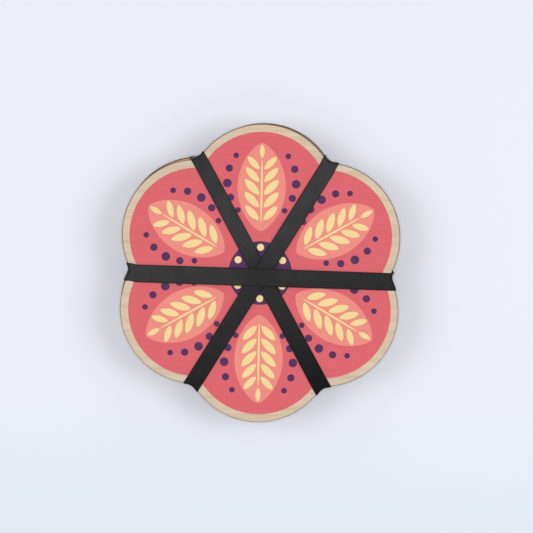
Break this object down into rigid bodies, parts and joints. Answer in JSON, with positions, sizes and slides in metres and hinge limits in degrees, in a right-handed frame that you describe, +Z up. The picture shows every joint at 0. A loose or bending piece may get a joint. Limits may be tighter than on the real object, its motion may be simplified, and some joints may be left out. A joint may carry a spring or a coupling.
{
  "type": "flower press",
  "caption": "Petal-shaped plywood flower press: a stack of cards and blotting papers between two boards, held shut by crossed elastic straps.",
  "frame": {"origin": "on the surface that the press lies on, under the middle of the boards", "axes": "+Z up through the stack, +Y towards the tip of one petal, X along one pair of notches"},
  "size_m": [0.167, 0.1795, 0.0326],
  "materials": {
    "plywood": "matte",
    "corrugated_card": "matte",
    "blotting_paper": "matte",
    "elastic": "matte"
  },
  "bodies": {
    "bottom_board": {"bottom_board": "plywood", "elastic_strap_1": "elastic", "elastic_strap_2": "elastic", "elastic_strap_3": "elastic"},
    "top_board": {"top_board": "plywood"},
    "card_1": {"card_1": "corrugated_card"},
    "blotter_1": {"blotter_1": "blotting_paper"},
    "blotter_2": {"blotter_2": "blotting_paper"},
    "card_2": {"card_2": "corrugated_card"},
    "blotter_3": {"blotter_3": "blotting_paper"},
    "blotter_4": {"blotter_4": "blotting_paper"},
    "card_3": {"card_3": "corrugated_card"},
    "blotter_5": {"blotter_5": "blotting_paper"},
    "blotter_6": {"blotter_6": "blotting_paper"},
    "card_4": {"card_4": "corrugated_card"},
    "blotter_7": {"blotter_7": "blotting_paper"},
    "blotter_8": {"blotter_8": "blotting_paper"},
    "card_5": {"card_5": "corrugated_card"},
    "blotter_9": {"blotter_9": "blotting_paper"},
    "blotter_10": {"blotter_10": "blotting_paper"},
    "card_6": {"card_6": "corrugated_card"}
  },
  "joints": [
    {"name": "press_opening", "type": "slide", "parent": "bottom_board", "child": "top_board", "axis": [0, 0, 1], "range_m": [0, 0.02], "stiffness_N_per_m": 600, "springref_m": -0.03, "deforming": ["elastic_strap_1", "elastic_strap_2", "elastic_strap_3"]},
    {"name": "card_1_lift", "type": "slide", "parent": "bottom_board", "child": "card_1", "axis": [0, 0, 1], "range_m": [0, 0.00045]},
    {"name": "blotter_1_lift", "type": "slide", "parent": "bottom_board", "child": "blotter_1", "axis": [0, 0, 1], "range_m": [0, 0.0007]},
    {"name": "blotter_2_lift", "type": "slide", "parent": "bottom_board", "child": "blotter_2", "axis": [0, 0, 1], "range_m": [0, 0.0041]},
    {"name": "card_2_lift", "type": "slide", "parent": "bottom_board", "child": "card_2", "axis": [0, 0, 1], "range_m": [0, 0.00435]},
    {"name": "blotter_3_lift", "type": "slide", "parent": "bottom_board", "child": "blotter_3", "axis": [0, 0, 1], "range_m": [0, 0.0046]},
    {"name": "blotter_4_lift", "type": "slide", "parent": "bottom_board", "child": "blotter_4", "axis": [0, 0, 1], "range_m": [0, 0.008]},
    {"name": "card_3_lift", "type": "slide", "parent": "bottom_board", "child": "card_3", "axis": [0, 0, 1], "range_m": [0, 0.00825]},
    {"name": "blotter_5_lift", "type": "slide", "parent": "bottom_board", "child": "blotter_5", "axis": [0, 0, 1], "range_m": [0, 0.0085]},
    {"name": "blotter_6_lift", "type": "slide", "parent": "bottom_board", "child": "blotter_6", "axis": [0, 0, 1], "range_m": [0, 0.0119]},
    {"name": "card_4_lift", "type": "slide", "parent": "bottom_board", "child": "card_4", "axis": [0, 0, 1], "range_m": [0, 0.01215]},
    {"name": "blotter_7_lift", "type": "slide", "parent": "bottom_board", "child": "blotter_7", "axis": [0, 0, 1], "range_m": [0, 0.0124]},
    {"name": "blotter_8_lift", "type": "slide", "parent": "bottom_board", "child": "blotter_8", "axis": [0, 0, 1], "range_m": [0, 0.0158]},
    {"name": "card_5_lift", "type": "slide", "parent": "bottom_board", "child": "card_5", "axis": [0, 0, 1], "range_m": [0, 0.01605]},
    {"name": "blotter_9_lift", "type": "slide", "parent": "bottom_board", "child": "blotter_9", "axis": [0, 0, 1], "range_m": [0, 0.0163]},
    {"name": "blotter_10_lift", "type": "slide", "parent": "bottom_board", "child": "blotter_10", "axis": [0, 0, 1], "range_m": [0, 0.0197]},
    {"name": "card_6_lift", "type": "slide", "parent": "bottom_board", "child": "card_6", "axis": [0, 0, 1], "range_m": [0, 0.01995]}
  ],
  "couplings": [
    {"joint": "card_1_lift", "follows": "press_opening", "ratio": 0.0125},
    {"joint": "blotter_1_lift", "follows": "press_opening", "ratio": 0.025},
    {"joint": "blotter_2_lift", "follows": "press_opening", "ratio": 0.195},
    {"joint": "card_2_lift", "follows": "press_opening", "ratio": 0.2075},
    {"joint": "blotter_3_lift", "follows": "press_opening", "ratio": 0.22},
    {"joint": "blotter_4_lift", "follows": "press_opening", "ratio": 0.39},
    {"joint": "card_3_lift", "follows": "press_opening", "ratio": 0.4025},
    {"joint": "blotter_5_lift", "follows": "press_opening", "ratio": 0.415},
    {"joint": "blotter_6_lift", "follows": "press_opening", "ratio": 0.585},
    {"joint": "card_4_lift", "follows": "press_opening", "ratio": 0.5975},
    {"joint": "blotter_7_lift", "follows": "press_opening", "ratio": 0.61},
    {"joint": "blotter_8_lift", "follows": "press_opening", "ratio": 0.78},
    {"joint": "card_5_lift", "follows": "press_opening", "ratio": 0.7925},
    {"joint": "blotter_9_lift", "follows": "press_opening", "ratio": 0.805},
    {"joint": "blotter_10_lift", "follows": "press_opening", "ratio": 0.975},
    {"joint": "card_6_lift", "follows": "press_opening", "ratio": 0.9875}
  ]
}
